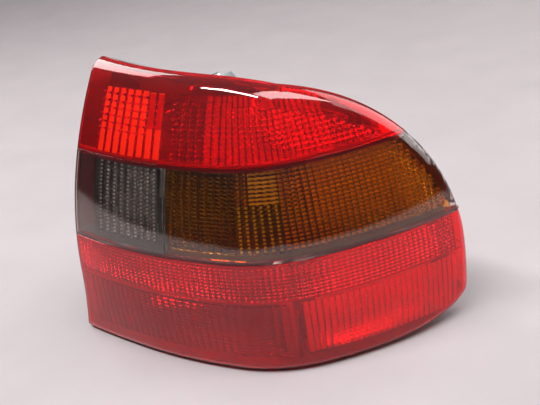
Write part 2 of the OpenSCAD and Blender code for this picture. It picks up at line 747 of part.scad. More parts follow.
// Flat strips join each socket to the connector
pad_r = 6;
strip_gap = 1.5;
module contact(b, reach) {
    dir = b[0] < plug_x ? 1 : -1;
    translate([0, plate_face + strip_t, 0])
        rotate([90, 0, 0])
            linear_extrude(strip_t)
                union() {
                    translate(b) circle(pad_r);
                    translate([dir > 0 ? b[0] : b[0] - reach, b[1] - strip_w / 2]) square([reach, strip_w]);
                    x = b[0] + dir * reach;
                    near = plug_z + (b[1] > plug_z ? 1 : -1) * (plug_h / 2 + strip_gap);
                    translate([dir > 0 ? x - strip_w : x, min(b[1] - strip_w / 2, near)])
                        square([strip_w, abs(b[1] - near) + strip_w / 2]);
                }
}
module contact_strips() {
    side = plug_x - bulb_in_x;
    color("darkgoldenrod") {
        contact(high_in, side - strip_gap);
        contact(high_out, side - strip_gap);
        contact(mid_in, side - strip_gap - 2 * strip_w);
        contact(mid_out, side - strip_gap - 2 * strip_w);
        contact(low_in, side - strip_gap);
        contact(low_out, side - strip_gap);
    }
}
pin_w = 2.4;
pin_t = 0.8;
module connector_pins() {
    pitch = (plug_w - 2 * plug_wall - pin_w) / pin_count;
    color("darkgoldenrod")
        for (i = [0 : pin_count - 1])
            translate([plug_x + (i - (pin_count - 1) / 2) * pitch - pin_w / 2, plate_face,
                       plug_z - pin_t / 2])
                cube([pin_w, pin_l, pin_t]);
}

// Fixings
module mounting_studs() {
    color("silver")
        at_studs(back_y) {
            cylinder(d = shank_d, h = spigot_y - back_y);
            cylinder(d = stud_d, h = boss_h + stud_l - 1);
            translate([0, 0, boss_h + stud_l - 1]) cylinder(d1 = stud_d, d2 = stud_d - 2, h = 1);
        }
}
module stud_seals() {
    color("black")
        at_studs(face_y)
            difference() {
                cylinder(d = boss_d, h = seal_t);
                translate([0, 0, -1]) cylinder(d = spigot_d + 2 * fit_gap, h = seal_t + 2);
            }
}
cap_wall = 1.6;
cap_top = 1.4;
module breather_cap() {
    r = breather_d / 2;
    bottom = breather_h + 1;
    top = bottom + cap_top;
    color("black")
        translate([breather_x, back_y + fit_gap, breather_z])
            rotate([-90, 0, 0])
                rotate_extrude()
                    polygon([[r + 0.05, 0], [r + cap_wall, 0], [r + cap_wall, bottom], [r - 0.4, top],
                             [0, top], [0, bottom], [r + 0.05, bottom]]);
}

module place() {
    translate([-(stud_x[0] + stud_x[1]) / 2, -face_y - seal_t, -(stud_z[0] + stud_z[1]) / 2]) children();
}

place() lens_upper_red();
place() lens_smoked_band();
place() lens_lower_red();
place() amber_filter();
place() reversing_optic();
place() housing();
place() stop_reflector();
place() tail_reflector();
place() reversing_reflector();
place() indicator_reflector();
place() fog_reflector();
place() side_tail_reflector();
place() upper_side_mirror();
place() middle_side_mirror();
place() lower_side_mirror();
place() stop_bulb_cap();
place() stop_bulb_glass();
place() tail_bulb_cap();
place() tail_bulb_glass();
place() reversing_bulb_cap();
place() reversing_bulb_glass();
place() indicator_bulb_cap();
place() indicator_bulb_glass();
place() fog_bulb_cap();
place() fog_bulb_glass();
place() side_tail_bulb_cap();
place() side_tail_bulb_glass();
place() bulb_filaments();
place() bulb_holder();
place() holder_gasket();
place() contact_strips();
place() connector_pins();
place() mounting_studs();
place() stud_seals();
place() breather_cap();
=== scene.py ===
import json
import math
import bpy
import numpy as np
from mathutils import Matrix, Quaternion, Vector
from mathutils.bvhtree import BVHTree


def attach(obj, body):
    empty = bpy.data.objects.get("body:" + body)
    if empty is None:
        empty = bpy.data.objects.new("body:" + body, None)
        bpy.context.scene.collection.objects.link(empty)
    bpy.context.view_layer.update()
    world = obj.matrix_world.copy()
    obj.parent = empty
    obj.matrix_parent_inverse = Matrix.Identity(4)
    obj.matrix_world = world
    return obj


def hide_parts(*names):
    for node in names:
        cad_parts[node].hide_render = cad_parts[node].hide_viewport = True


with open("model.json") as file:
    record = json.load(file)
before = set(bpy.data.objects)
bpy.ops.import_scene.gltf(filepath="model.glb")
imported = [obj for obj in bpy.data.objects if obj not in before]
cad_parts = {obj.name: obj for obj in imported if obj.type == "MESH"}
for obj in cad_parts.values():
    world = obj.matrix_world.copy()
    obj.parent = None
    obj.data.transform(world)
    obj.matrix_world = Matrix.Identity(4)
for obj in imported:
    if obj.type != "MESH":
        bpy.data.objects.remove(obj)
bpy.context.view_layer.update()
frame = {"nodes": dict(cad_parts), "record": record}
parts = frame["nodes"]
MM = 0.001

# Sizes of the lamp, the same as in its source: millimetres, with heights counted from the lower rim
REAR_RUN, REAR_R = 152.0, 360.0
CORNER_RUN, CORNER_R = 69.0, 105.0
SIDE_RUN, SIDE_R = 128.0, 313.0
CORNER_END = REAR_RUN + CORNER_RUN
LENS_RUN = CORNER_END + SIDE_RUN
SEAM_LOW, SEAM_HIGH, LENS_H = 90.0, 156.0, 213.0
TIP_Z, TIP_HALF, TOE_RUN = 48.0, 7.0, 104.0
SHOULDER_Z = TIP_Z + TIP_HALF
TOP_POWER, DROP_POWER = 4.5, 2.26
TOP_RISE, RISE_POWER = 4.5, 1.5
TOE_POWER, HEEL_POWER = 2.5, 3.3
CORNER_FLARE, CORNER_PROUD, FLARE_H = 12.0, 5.0, 60.0
BELLY_R, BELLY_Z = 275.0, 50.0
RIM_R, INNER_EDGE_R, LEAST_EDGE_R = 9.0, 4.0, 0.5
LENS_WALL, SKIRT, SKIRT_FALL = 2.6, 22.0, 5.0
RIB_DEPTH, RIB_WALL = 4.0, 1.2
FIT_GAP, FILTER_WALL, FILTER_SPLIT = 0.3, 2.0, 1.5
DIVIDER_X = 101.0
DIVIDER_S = REAR_R * math.asin(DIVIDER_X / REAR_R)
# The frame's origin, the middle of the four studs, as the lamp's own drawing has it
STUD_CENTRE = (83.0, 128.0, 95.0)
FLOOR_Z = -STUD_CENTRE[2] * MM
# The outline counts as no steeper than this where it drops to the tip, as the cosine of its slope
LEAST_LEAN = 0.25


# Shape of the lens: s is the distance along its plan curve, z the height and depth the distance inwards
def plan(s):
    """Place on the plan curve and its heading, in radians, at a run s."""
    s = np.asarray(s, float)
    a = np.clip(s, 0, REAR_RUN) / REAR_R
    b = np.clip(s - REAR_RUN, 0, CORNER_RUN) / CORNER_R
    c = np.clip(s - CORNER_END, 0, SIDE_RUN) / SIDE_R
    h1, h2 = a, a + b
    h3 = h2 + c
    x = np.minimum(s, 0) + REAR_R * np.sin(h1)
    y = REAR_R * (1 - np.cos(h1))
    x = x + CORNER_R * (np.sin(h2) - np.sin(h1)) + SIDE_R * (np.sin(h3) - np.sin(h2))
    y = y + CORNER_R * (np.cos(h1) - np.cos(h2)) + SIDE_R * (np.cos(h2) - np.cos(h3))
    return x, y, h3


def at(s, z, depth):
    """A point of the lamp at run s, height z and depth inwards, in metres in the shared frame."""
    s, z, depth = np.broadcast_arrays(*[np.asarray(v, float) for v in (s, z, depth)])
    low = np.where(z >= FLARE_H, 0, (1 - z / FLARE_H) ** 2)
    near = np.where(s >= FLARE_H, 0, (1 - s / FLARE_H) ** 2)
    run = s - CORNER_FLARE * low * near
    q = depth + (z - BELLY_Z) ** 2 / (2 * BELLY_R) - CORNER_PROUD * low * near
    x, y, h = plan(run)
    p = np.stack([x - q * np.sin(h), y + q * np.cos(h), z], -1)
    return (p - STUD_CENTRE) * MM


def top_z(s):
    """Height of the upper outline at a run s."""
    share = np.clip(np.asarray(s, float) / LENS_RUN, 0, 1) ** TOP_POWER
    rise = TOP_RISE * np.clip(1 - np.clip(s, 0, None) / REAR_RUN, 0, 1) ** RISE_POWER
    return SHOULDER_Z + (LENS_H - SHOULDER_Z) * np.clip(1 - share, 0, 1) ** (1 / DROP_POWER) + rise


def top_s(z):
    """Run at which the upper outline has fallen to a height z."""
    share = ((z - SHOULDER_Z) / (LENS_H - SHOULDER_Z)) ** DROP_POWER
    return LENS_RUN * (1 - share) ** (1 / TOP_POWER)


def bottom_z(s):
    """Height of the lower outline at a run s: level, then rising to the tip."""
    t = np.clip((np.asarray(s, float) - LENS_RUN + TOE_RUN) / TOE_RUN, 0, 1)
    return (TIP_Z - TIP_HALF) * (1 - (1 - t ** TOE_POWER) ** (1 / HEEL_POWER))


def lean(s):
    """Cosine of the upper outline's slope."""
    step = 0.01
    slope = (top_z(s + step) - top_z(s - step)) / (2 * step)
    return np.maximum(LEAST_LEAN, np.where(np.asarray(s) >= LENS_RUN, 0, 1 / np.sqrt(1 + slope ** 2)))


def border(s, z):
    """Distance from the upper outline, square to it."""
    return (top_z(s) - z) * lean(s)


def curl(d, r):
    """How far a rounded edge of radius r has rolled in at a distance d from its edge."""
    d = np.clip(d, 0, r)
    return r - np.sqrt(np.maximum(r * r - (r - d) ** 2, 0))


def edge_curl(s, z, inset):
    """How far the skin rolls in at the rim, the inner edge and the tip."""
    r = RIM_R - inset
    r_in = max(INNER_EDGE_R - inset, LEAST_EDGE_R)
    a = curl((top_z(s) - inset - z) * lean(s), r)
    b = curl(z - inset - bottom_z(s), r)
    c = curl(s - inset, r_in)
    d = curl(LENS_RUN - inset - s, r)
    return np.sqrt(a * a + b * b + c * c + d * d)


# Making and closing a mesh
LENS_SMOOTH = 20.0  # faces that meet at less than this many degrees shade as one surface
SAME_POINT, SLIVER = 2e-7, 1e-7  # metres
SAME_RUN = 0.004  # millimetres


def deselect():
    bpy.ops.object.select_all(action="DESELECT")


def finish_mesh(piece, name, angle):
    """Closes the open ends of the piece in hand, turns its faces outwards and smooths it."""
    bpy.ops.object.mode_set(mode="EDIT")
    bpy.ops.mesh.select_all(action="SELECT")
    bpy.ops.mesh.remove_doubles(threshold=SAME_POINT)
    bpy.ops.mesh.dissolve_degenerate(threshold=SLIVER)
    bpy.ops.mesh.select_all(action="DESELECT")
    bpy.ops.mesh.select_non_manifold(extend=False, use_wire=False, use_multi_face=False,
                                     use_non_contiguous=False, use_verts=False)
    bpy.ops.mesh.fill_holes(sides=0)
    bpy.ops.mesh.select_all(action="SELECT")
    bpy.ops.mesh.normals_make_consistent(inside=False)
    bpy.ops.object.mode_set(mode="OBJECT")
    bpy.ops.object.shade_smooth_by_angle(angle=math.radians(angle))
    piece.name = piece.data.name = name
    piece.select_set(False)


def loft(name, sections, finishes):
    """A closed moulding from sections of as many points each: a grid rolled into a tube, with its ends
    filled. finishes gives each face's place in the list of materials, by section and place round it."""
    count, around = sections.shape[:2]
    deselect()
    bpy.ops.mesh.primitive_grid_add(x_subdivisions=count - 1, y_subdivisions=around, size=1)
    piece = bpy.context.object
    flat = np.zeros(len(piece.data.vertices) * 3)
    piece.data.vertices.foreach_get("co", flat)
    flat = flat.reshape(-1, 3)
    # The grid runs along the sections in x and round each of them in y, where its last row meets its first.
    i = np.rint((flat[:, 0] + 0.5) * (count - 1)).astype(int)
    j = np.rint((flat[:, 1] + 0.5) * around).astype(int) % around
    middle = np.zeros(len(piece.data.polygons) * 3)
    piece.data.polygons.foreach_get("center", middle)
    middle = middle.reshape(-1, 3) + 0.5
    row = (middle[:, 0] * (count - 1)).astype(int)
    place = (middle[:, 1] * around).astype(int)
    piece.data.polygons.foreach_set("material_index", finishes[row, place])
    piece.data.vertices.foreach_set("co", sections[i, j].ravel())
    finish_mesh(piece, name, LENS_SMOOTH)
    return piece


def crowd(n):
    """Shares from 0 to 1 that crowd towards both ends."""
    return (1 - np.cos(np.pi * np.arange(n + 1) / n)) / 2


def spaced(*spans):
    """Numbers along several spans, each given as its start, its end and the step in it."""
    return np.unique(np.round(np.concatenate([np.arange(a, b, d) for a, b, d in spans]), 4))


def merge_runs(*groups):
    """All runs of several groups in order, without those that all but coincide."""
    runs = np.unique(np.concatenate([np.round(np.asarray(g, float), 4) for g in groups]))
    keep = np.concatenate([[True], np.diff(runs) > SAME_RUN])
    return runs[keep]


# Optics on the inner faces
# Places in a lens shot's list of materials: the crowns carry painted glints, the bright crowns a painted
# glow on the upper shot and painted highlights on the lower
PLAIN, EDGE_ON_AND_LINE, CROWN, BRIGHT_CROWN = 0, 1, 2, 3
# Places in the list of the reversing optic and the amber filter, after the plain one: painted glints on the
# dots, a painted glow on the bulb's dots and pane, and painted shade
DOT, BULB_DOT, BULB_PANE, SHADE = 1, 2, 3, 4
ROW_SWELL = 1.4  # how much more a pillow bulges along its height than across, for its size


def flute_edges(start, end, pitches):
    """Edges of the flutes along the lens. Their width changes along it, as pairs of run and width."""
    runs, widths = zip(*pitches)
    edges = [start]
    while edges[-1] < end:
        edges.append(edges[-1] + float(np.interp(edges[-1], runs, widths)))
    return np.array(edges)


class Pillows:
    """Rows and columns of small pillow lenses on an inner face, wherever inside(s, z) says so.
    edges are the runs between the columns; low, pitch and rows place the rows. rise is the height of a
    pillow for its size. crown is the reach of its crown from its middle, as shares along and up. finish is
    the crown's place in the list of materials, valley that of the ground round it, and steps is how many
    faces a pillow has along the lens."""

    def __init__(self, edges, low, pitch, rows, inside, *, rise=0.14, crown=(0.36, 0.3),
                 finish=CROWN, valley=PLAIN, steps=6):
        self.edges, self.low, self.pitch, self.rows = edges, low, pitch, rows
        self.inside, self.rise, self.crown = inside, rise, crown
        self.finish, self.valley, self.steps = finish, valley, steps

    def runs(self):
        widths = np.diff(self.edges)
        cells = [e + w * np.arange(self.steps) / self.steps for e, w in zip(self.edges, widths)]
        return np.concatenate(cells + [self.edges[-1:]])

    def levels(self, steps=4):
        return self.low + self.pitch * np.arange(self.rows * steps + 1) / steps

    def place(self, s, z):
        """Width of the pillow at a place, the shares across and up it, and whether it is there."""
        s, z = np.broadcast_arrays(s, z)
        i = np.clip(np.searchsorted(self.edges, s + 1e-6, side="right") - 1, 0, len(self.edges) - 2)
        width = self.edges[i + 1] - self.edges[i]
        u = (s - self.edges[i]) / width
        j = np.floor((z - self.low) / self.pitch + 1e-6)
        v = (z - self.low) / self.pitch - j
        middle = (self.edges[i] + width / 2, self.low + (j + 0.5) * self.pitch)
        return width, u, v, self.inside(*middle) & (u >= 0) & (u < 1) & (j >= 0) & (j < self.rows)

    def depth(self, s, z):
        """How far the pillows stand inwards from the plain inner face."""
        width, u, v, on = self.place(s, z)
        across = width * (1 - (2 * u - 1) ** 2)
        up = ROW_SWELL * self.pitch * (1 - (2 * v - 1) ** 2)
        return np.where(on, self.rise * (across + up), 0)

    def crowns(self, runs, levels):
        """The finish of the faces between runs and levels, the last level first."""
        s = (runs[1:] + runs[:-1]) / 2
        z = (levels[1:] + levels[:-1])[::-1] / 2
        width, u, v, on = self.place(s[:, None], z)
        crown = (abs(u - 0.5) < self.crown[0]) & (abs(v - 0.5) < self.crown[1])
        return np.where(on, np.where(crown, self.finish, self.valley), PLAIN)


# The three shots of the lens
SEAM_ROUND = 0.5  # small radius of each shot at its seams
SEAM_SLIT = 0.03  # half the slit between two shots
OUTER_ROWS = 28  # faces up the outer skin
SECTION_GAP = 3.0  # between sections where the lens has no pillows
NARROW = 0.3  # the most that a wall or a fall takes of a section's height, where the shot runs out
WALL_STEPS = np.array([0, 0.03, 0.12, 0.35, 0.65, 1])  # sections in a closed end wall, as shares of it
TIP_STEPS = np.array([10, 8, 6.5, 5, 4, 3.2])  # sections before the closed tip, where the rim rolls in
SEAM_STEPS = np.array([1.8, 1.2, 0.7, 0.3])  # sections before an open end
INNER_STEPS = [4, 5.5]  # sections past the inner end wall
PAST_WALL = 0.01  # from the last section in a closed end wall to the first one past it
PLAIN_START = 2.5  # from there to the first of the plain sections
OPTICS_GAP, END_GAP = 1, 0.2  # kept between plain sections and pillows, and pillows and the end's sections


def shot_columns(s_end, closed_end, pillows):
    """The runs of a shot's sections, each with whether it lies within a closed end wall."""
    wall = LENS_WALL + PAST_WALL
    optics = [p.runs() for p in pillows]
    before_end = s_end - (TIP_STEPS if closed_end else SEAM_STEPS)
    plain = [s for s in np.arange(wall + PLAIN_START, s_end - SECTION_GAP, SECTION_GAP)
             if not any(r.min() - OPTICS_GAP < s < r.max() + OPTICS_GAP for r in optics)]
    optics = [r[r < before_end.min() - END_GAP] for r in optics]
    between = merge_runs([wall], INNER_STEPS, plain, *optics, before_end)
    columns = [(LENS_WALL * w, True) for w in WALL_STEPS] + [(s, False) for s in between]
    if closed_end:
        return columns + [(s_end - wall, False)] + [(s_end - LENS_WALL * w, True) for w in WALL_STEPS[::-1]]
    return columns + [(s_end, False)]


def shot_section(s, closed, z0, z1, pillows, levels):
    """One section of a shot: from its lower lip up the outer skin, over its upper lip and down the inner
    face. Where the shot reaches the outline it has the rolled rim, and elsewhere a seam with its rib."""
    at_rim, at_top = z0 <= 0, z1 > LENS_H
    z0 = z0 if at_rim else z0 + SEAM_SLIT
    z1 = z1 if at_top else z1 - SEAM_SLIT
    low = max(z0, float(bottom_z(s)))
    high = min(z1, float(top_z(s)))
    at_top = at_top or float(top_z(s)) < z1
    most = (high - low) * NARROW
    low_wall = min(LENS_WALL if at_rim else RIB_WALL, most)
    high_wall = min(LENS_WALL if at_top else RIB_WALL, most)
    low_lip = SKIRT if closed or at_rim else RIB_DEPTH
    high_lip = SKIRT if closed or at_top else RIB_DEPTH
    down = min(SKIRT_FALL, most) if at_top else 0
    z = low + (high - low) * crowd(OUTER_ROWS)
    skin = edge_curl(s, z, 0)
    if not at_rim:
        skin = np.maximum(skin, curl(z - low, SEAM_ROUND))
    if not at_top:
        skin = np.maximum(skin, curl(high - z, SEAM_ROUND))
    zi = np.clip(levels, low + low_wall, high - high_wall - (down if closed else 0))
    if closed:
        inner = at(s, zi, SKIRT)
    else:
        bump = sum(p.depth(s, zi) for p in pillows)
        inner = at(s, zi, LENS_WALL + bump + edge_curl(s, zi, LENS_WALL))
    return np.concatenate([
        at(s, low, low_lip)[None], at(s, z, skin), at(s, high - down, high_lip)[None],
        at(s, high - down - high_wall, high_lip)[None], inner[::-1], at(s, low + low_wall, low_lip)[None]])


def lens_shot(name, z0, z1, s_end, pillows, levels, closed_end=False, line=None):
    """One shot of the lens, between the heights z0 and z1 and up to the run s_end: its outer skin, the lips
    back to the housing and the inner face with its optics. closed_end gives it an end wall there, and line
    is the height of a dark line across its inner face."""
    columns = shot_columns(s_end, closed_end, pillows)
    sections = np.array([shot_section(s, closed, z0, z1, pillows, levels) for s, closed in columns])
    # The inner face starts past the lower lip's end, the outer skin and both corners of the upper lip.
    inner = OUTER_ROWS + 4
    finishes = np.full((len(sections) - 1, len(sections[0])), PLAIN, dtype=np.int32)
    finishes[:, inner - 2:inner] = finishes[:, -2:] = EDGE_ON_AND_LINE
    finishes[[closed for s, closed in columns][:-1], inner - 2:] = EDGE_ON_AND_LINE
    runs = np.array([s for s, closed in columns])
    for p in pillows:
        finishes[:, inner:-2] = np.maximum(finishes[:, inner:-2], p.crowns(runs, levels))
    # The line is painted in the edge-on finish across the flat inner face; the step it marks isn't modelled.
    if line is not None:
        finishes[:, inner + len(levels) - 2 - int(np.searchsorted(levels, line))] = EDGE_ON_AND_LINE
    return loft(name, sections, finishes)


# Lowest edge and pitch of the rows of pillows in each band
HIGH_LOW, HIGH_PITCH, HIGH_ROWS = 158.6, 3.2, 13
MID_LOW, MID_PITCH, MID_ROWS = 96.0, 2.75, 20
TAIL_LOW, TAIL_PITCH, TAIL_ROWS = 61.6, 2.6, 10
FOOT_LOW, FOOT_PITCH, FOOT_ROWS = 16.4, 2.8, 15
# Plain borders between the pillows and the outline
HIGH_BORDER, MID_BORDER, FOOT_BORDER, TIP_BORDER = 15.0, 13.0, 9.0, 14.0
# The part of the indicator's field that lies before its bulb
BULB_START, BULB_END, BULB_ROWS = 163.0, 200.0, 12
PANE_START = 176.0
PANE_LOW = MID_LOW + BULB_ROWS * MID_PITCH


def everywhere(s, z):
    return z > 0


def in_high_band(s, z):
    return border(s, z) > HIGH_BORDER


def in_mid_band(s, z):
    return border(s, z) > MID_BORDER


def in_foot(s, z):
    return z - bottom_z(s) > FOOT_BORDER


# The upper band: larger pillows before the stop light, whose crowns carry a painted orange glow, a gap
# without painted glints, then the tail light's field with painted glints on its crowns
STOP_PILLOWS = Pillows(
    flute_edges(28, 96, [(28, 9.0), (99, 8.7)]), HIGH_LOW, 1.5 * HIGH_PITCH, 9, in_high_band,
    crown=(0.4, 0.3), finish=BRIGHT_CROWN)
GAP_PILLOWS = Pillows(
    flute_edges(109, 131, [(109, 7.4), (140, 7.0)]), HIGH_LOW, HIGH_PITCH, HIGH_ROWS, in_high_band,
    finish=PLAIN)
UPPER_PILLOWS = Pillows(
    flute_edges(GAP_PILLOWS.edges[-1], 306, [(130, 7.2), (158, 6.6), (230, 4.9), (320, 4.8)]),
    HIGH_LOW, HIGH_PITCH, HIGH_ROWS, in_high_band)
# The middle band: painted white glints on the reversing optic, painted amber ones on the filter, a painted
# yellow glow before its bulb and painted shade by the divider
REVERSING_PILLOWS = Pillows(
    flute_edges(28, 92, [(28, 8.4), (60, 7.6), (80, 6.4), (100, 6.0)]), 98.0, MID_PITCH, 19,
    everywhere, crown=(0.2, 0.3), finish=DOT)
SHADED_PILLOWS = Pillows(
    flute_edges(105.5, BULB_START, [(105, 6.6), (BULB_START, 6.4)]), MID_LOW, MID_PITCH, MID_ROWS,
    in_mid_band, finish=SHADE, valley=SHADE)
BRIGHT_PILLOWS = Pillows(
    flute_edges(SHADED_PILLOWS.edges[-1], BULB_END, [(BULB_START, 6.4), (BULB_END, 6.2)]),
    MID_LOW, MID_PITCH, BULB_ROWS, everywhere, crown=(0.2, 0.3), finish=BULB_DOT)
DUSKY_PILLOWS = Pillows(
    BRIGHT_PILLOWS.edges, PANE_LOW, MID_PITCH, MID_ROWS - BULB_ROWS, lambda s, z: s < PANE_START,
    crown=(0.2, 0.3), finish=DOT)
YELLOW_PILLOWS = Pillows(
    BRIGHT_PILLOWS.edges, PANE_LOW, MID_PITCH, MID_ROWS - BULB_ROWS, lambda s, z: s >= PANE_START,
    crown=(0.45, 0.36), finish=BULB_DOT)
AMBER_PILLOWS = Pillows(
    flute_edges(BRIGHT_PILLOWS.edges[-1], 330, [(205, 5.5), (230, 4.8), (330, 4.7)]),
    MID_LOW, MID_PITCH, MID_ROWS, in_mid_band, finish=DOT)
# The lower band: a strip of fine pillows with painted glints on their crowns, and under it the fog light's
# flat ones and the side's flutes, painted with highlights all over
TAIL_PILLOWS = Pillows(
    flute_edges(6, 336, [(6, 4.6), (150, 4.3), (330, 4.2)]), TAIL_LOW, TAIL_PITCH, TAIL_ROWS,
    lambda s, z: s < LENS_RUN - TIP_BORDER)
FOG_PILLOWS = Pillows(
    flute_edges(6, 196, [(6, 6.0), (196, 6.0)]), FOOT_LOW, FOOT_PITCH, FOOT_ROWS, in_foot,
    rise=0.06, finish=PLAIN, steps=4)
SIDE_PILLOWS = Pillows(
    flute_edges(208, 334, [(208, 4.8), (334, 4.6)]), FOOT_LOW, FOOT_PITCH, FOOT_ROWS,
    lambda s, z: in_foot(s, z) & (s < LENS_RUN - TIP_BORDER - 1),
    rise=0.06, crown=(0.36, 0.5), finish=BRIGHT_CROWN, valley=CROWN)

SHOT_END = 1.5  # height over its lower seam at which a shot ends, where the outline has come down to it
BORDER_START, BORDER_END = 201.0, 218
STRIP_LINE = 60.2
# A known fault: the two levels by the seam stand after the rows' levels. So the inner face runs back down
# from the top of the rows to the seam and up again, and that double sheet turns most rows into upright bars.
upper_levels = np.concatenate([
    UPPER_PILLOWS.levels(), [SEAM_HIGH + RIB_WALL, 157.9], spaced((BORDER_START, BORDER_END, 0.6))])
upper_lens = lens_shot(
    "upper_red_lens", SEAM_HIGH, LENS_H + TOP_RISE + 1, float(top_s(SEAM_HIGH + SHOT_END)),
    [STOP_PILLOWS, GAP_PILLOWS, UPPER_PILLOWS], upper_levels)
smoked_lens = lens_shot(
    "smoked_lens_band", SEAM_LOW, SEAM_HIGH, float(top_s(SEAM_LOW + SHOT_END)), [],
    spaced((SEAM_LOW + RIB_WALL, SEAM_HIGH - RIB_WALL, 4.4)))
lower_lens = lens_shot(
    "lower_red_lens", 0, SEAM_LOW, LENS_RUN, [TAIL_PILLOWS, FOG_PILLOWS, SIDE_PILLOWS],
    np.concatenate([spaced((LENS_WALL, 9, 0.8), (9, FOOT_LOW, 1.5)), FOG_PILLOWS.levels(3),
                    [STRIP_LINE - 1, STRIP_LINE], TAIL_PILLOWS.levels(3), [88.2, 88.8]]),
    closed_end=True, line=STRIP_LINE)


# The two inner optics behind the smoked shot
FRONT_ROWS = 14
# Heights of their plain edges, under and over the pillows
REVERSING_FOOT, REVERSING_HEAD = [90.3, 94, 97.2], [151.5, 154, 155.7]
AMBER_FOOT, AMBER_HEAD = [90.3, 93, 95.5], [152, 154, 155.7]


def filter_shot(name, s0, s1, pillows, levels, pane=None):
    """The amber filter or reversing optic, from run s0 to s1: a bent slab with pillows on its inner face.
    pane is a window of another finish on its front, which takes the painted glow: from a run, to a run, and
    up from a height."""
    depth = RIB_DEPTH + FIT_GAP
    z0 = SEAM_LOW + FIT_GAP
    cells = np.concatenate([p.runs() for p in pillows])
    runs = merge_runs([s0, s1], cells[(cells > s0 + 0.3) & (cells < s1 - 0.3)],
                      np.arange(s0 + SECTION_GAP, cells.min() - 1, SECTION_GAP),
                      np.arange(cells.max() + 2, s1 - 1, SECTION_GAP))
    sections = []
    for s in runs:
        z1 = min(SEAM_HIGH - FIT_GAP, float(top_z(s)) - LENS_WALL - RIM_R)
        front = z0 + (z1 - z0) * np.linspace(0, 1, FRONT_ROWS)
        zi = np.clip(levels, z0, z1)
        back = at(s, zi, depth + FILTER_WALL + sum(p.depth(s, zi) for p in pillows))
        sections.append(np.concatenate([at(s, front, depth), back[::-1]]))
    sections = np.array(sections)
    finishes = np.full((len(sections) - 1, len(sections[0])), PLAIN, dtype=np.int32)
    finishes[:, FRONT_ROWS:-1] = sum(p.crowns(runs, levels) for p in pillows)
    if pane is not None:
        across = (runs[:-1] > pane[0]) & (runs[:-1] < pane[1])
        finishes[np.ix_(across, np.flatnonzero(front[:-1] > pane[2]))] = BULB_PANE
    return loft(name, sections, finishes)


reversing_filter = filter_shot(
    "reversing_optic_clear", LENS_WALL + FILTER_WALL + FIT_GAP, DIVIDER_S - FILTER_SPLIT,
    [REVERSING_PILLOWS], np.concatenate([REVERSING_FOOT, REVERSING_PILLOWS.levels(), REVERSING_HEAD]))
indicator_filter = filter_shot(
    "indicator_filter_amber", DIVIDER_S + FILTER_SPLIT, float(top_s(SEAM_LOW)) - RIM_R,
    [SHADED_PILLOWS, BRIGHT_PILLOWS, DUSKY_PILLOWS, YELLOW_PILLOWS, AMBER_PILLOWS],
    np.concatenate([AMBER_FOOT, AMBER_PILLOWS.levels(), AMBER_HEAD]),
    pane=(PANE_START + 1, BULB_END - 2, PANE_LOW + 1))
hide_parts("lens_upper_red")
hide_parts("lens_smoked_band")
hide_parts("lens_lower_red")
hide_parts("reversing_optic")
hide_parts("amber_filter")

# Housing, bowls and mirrors: the solids' own forms, shaded smooth
HOUSING_SMOOTH, BOWL_SMOOTH = 28, 35


def smooth_copy(node, name, angle):
    """A smooth copy of a CAD node, which it stands for."""
    deselect()
    piece = bpy.data.objects.new(name, parts[node].data.copy())
    bpy.context.scene.collection.objects.link(piece)
    bpy.context.view_layer.objects.active = piece
    piece.select_set(True)
    finish_mesh(piece, name, angle)
    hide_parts(node)
    return piece


housing = smooth_copy("housing", "lamp_housing", HOUSING_SMOOTH)
bowls = [smooth_copy(node, node + "_bowl", BOWL_SMOOTH) for node in (
    "stop_reflector", "tail_reflector", "reversing_reflector", "indicator_reflector", "fog_reflector",
    "side_tail_reflector")]
mirrors = [smooth_copy(node, node + "_strip", BOWL_SMOOTH) for node in (
    "upper_side_mirror", "middle_side_mirror", "lower_side_mirror")]

WAYS_OUT = 12  # ways in which each face looks round
SHUT = 11  # a face looks into the lamp if as many of them are shut
SPREADS = (0.4, 0.9, 1.6)  # how far they lean from the face's normal, in turn
SQUARE = 0.85  # a wall stands square to an axis if its normal has as much of it
PLATED_LOW = (SEAM_LOW - STUD_CENTRE[2] - 4) * MM  # over this height level walls stay bare


def lined(piece, shells):
    """Faces of the housing that look into the lamp: nearly every way on from them is shut by the housing or
    lens. Its end wall, partitions and roof, which stand square to the lens, aren't metallised."""
    points, faces = [], []
    for shell in (piece, *shells):
        first = len(points)
        points += [v.co.copy() for v in shell.data.vertices]
        faces += [[first + i for i in p.vertices] for p in shell.data.polygons]
    tree = BVHTree.FromPolygons(points, faces)
    found = []
    for face in piece.data.polygons:
        side = face.normal.orthogonal().normalized()
        start = face.center + face.normal * 0.2 * MM
        shut = 0
        for way in range(WAYS_OUT):
            out = side.copy()
            out.rotate(Quaternion(face.normal, 2 * math.pi * way / WAYS_OUT))
            ray = (face.normal + out * SPREADS[way % len(SPREADS)]).normalized()
            shut += tree.ray_cast(start, ray)[0] is not None
        level = abs(face.normal.z) > SQUARE and face.center.z > PLATED_LOW
        found.append(shut >= SHUT and not level and abs(face.normal.x) < SQUARE)
    return found


# Materials
def srgb(code):
    """A linear colour from the hex code of its sRGB colour."""
    channels = [int(code[i:i + 2], 16) / 255 for i in (0, 2, 4)]
    return [c / 12.92 if c <= 0.04045 else ((c + 0.055) / 1.055) ** 2.4 for c in channels] + [1.0]


def add(tree, kind, inputs=None, **settings):
    """Adds a node. An input is a plain value, or the output socket that it is joined to."""
    made = tree.nodes.new(kind)
    for key, value in settings.items():
        setattr(made, key, value)
    for key, value in (inputs or {}).items():
        if isinstance(value, bpy.types.NodeSocket):
            tree.links.new(value, made.inputs[key])
        else:
            made.inputs[key].default_value = value
    return made


def new_material(name):
    made = bpy.data.materials.new(name)
    made.use_nodes = True
    tree = made.node_tree
    shader = tree.nodes["Principled BSDF"]
    return made, tree, shader, add(tree, "ShaderNodeTexCoord").outputs["Object"]


def pattern_scale(size):
    """Scale of a noise whose patches measure a size in millimetres."""
    return 1 / (size * MM)


HAZE_SIZE, TONE_SIZE = 45.45, 16.67  # patches of haze on acrylic and of tone on cloth


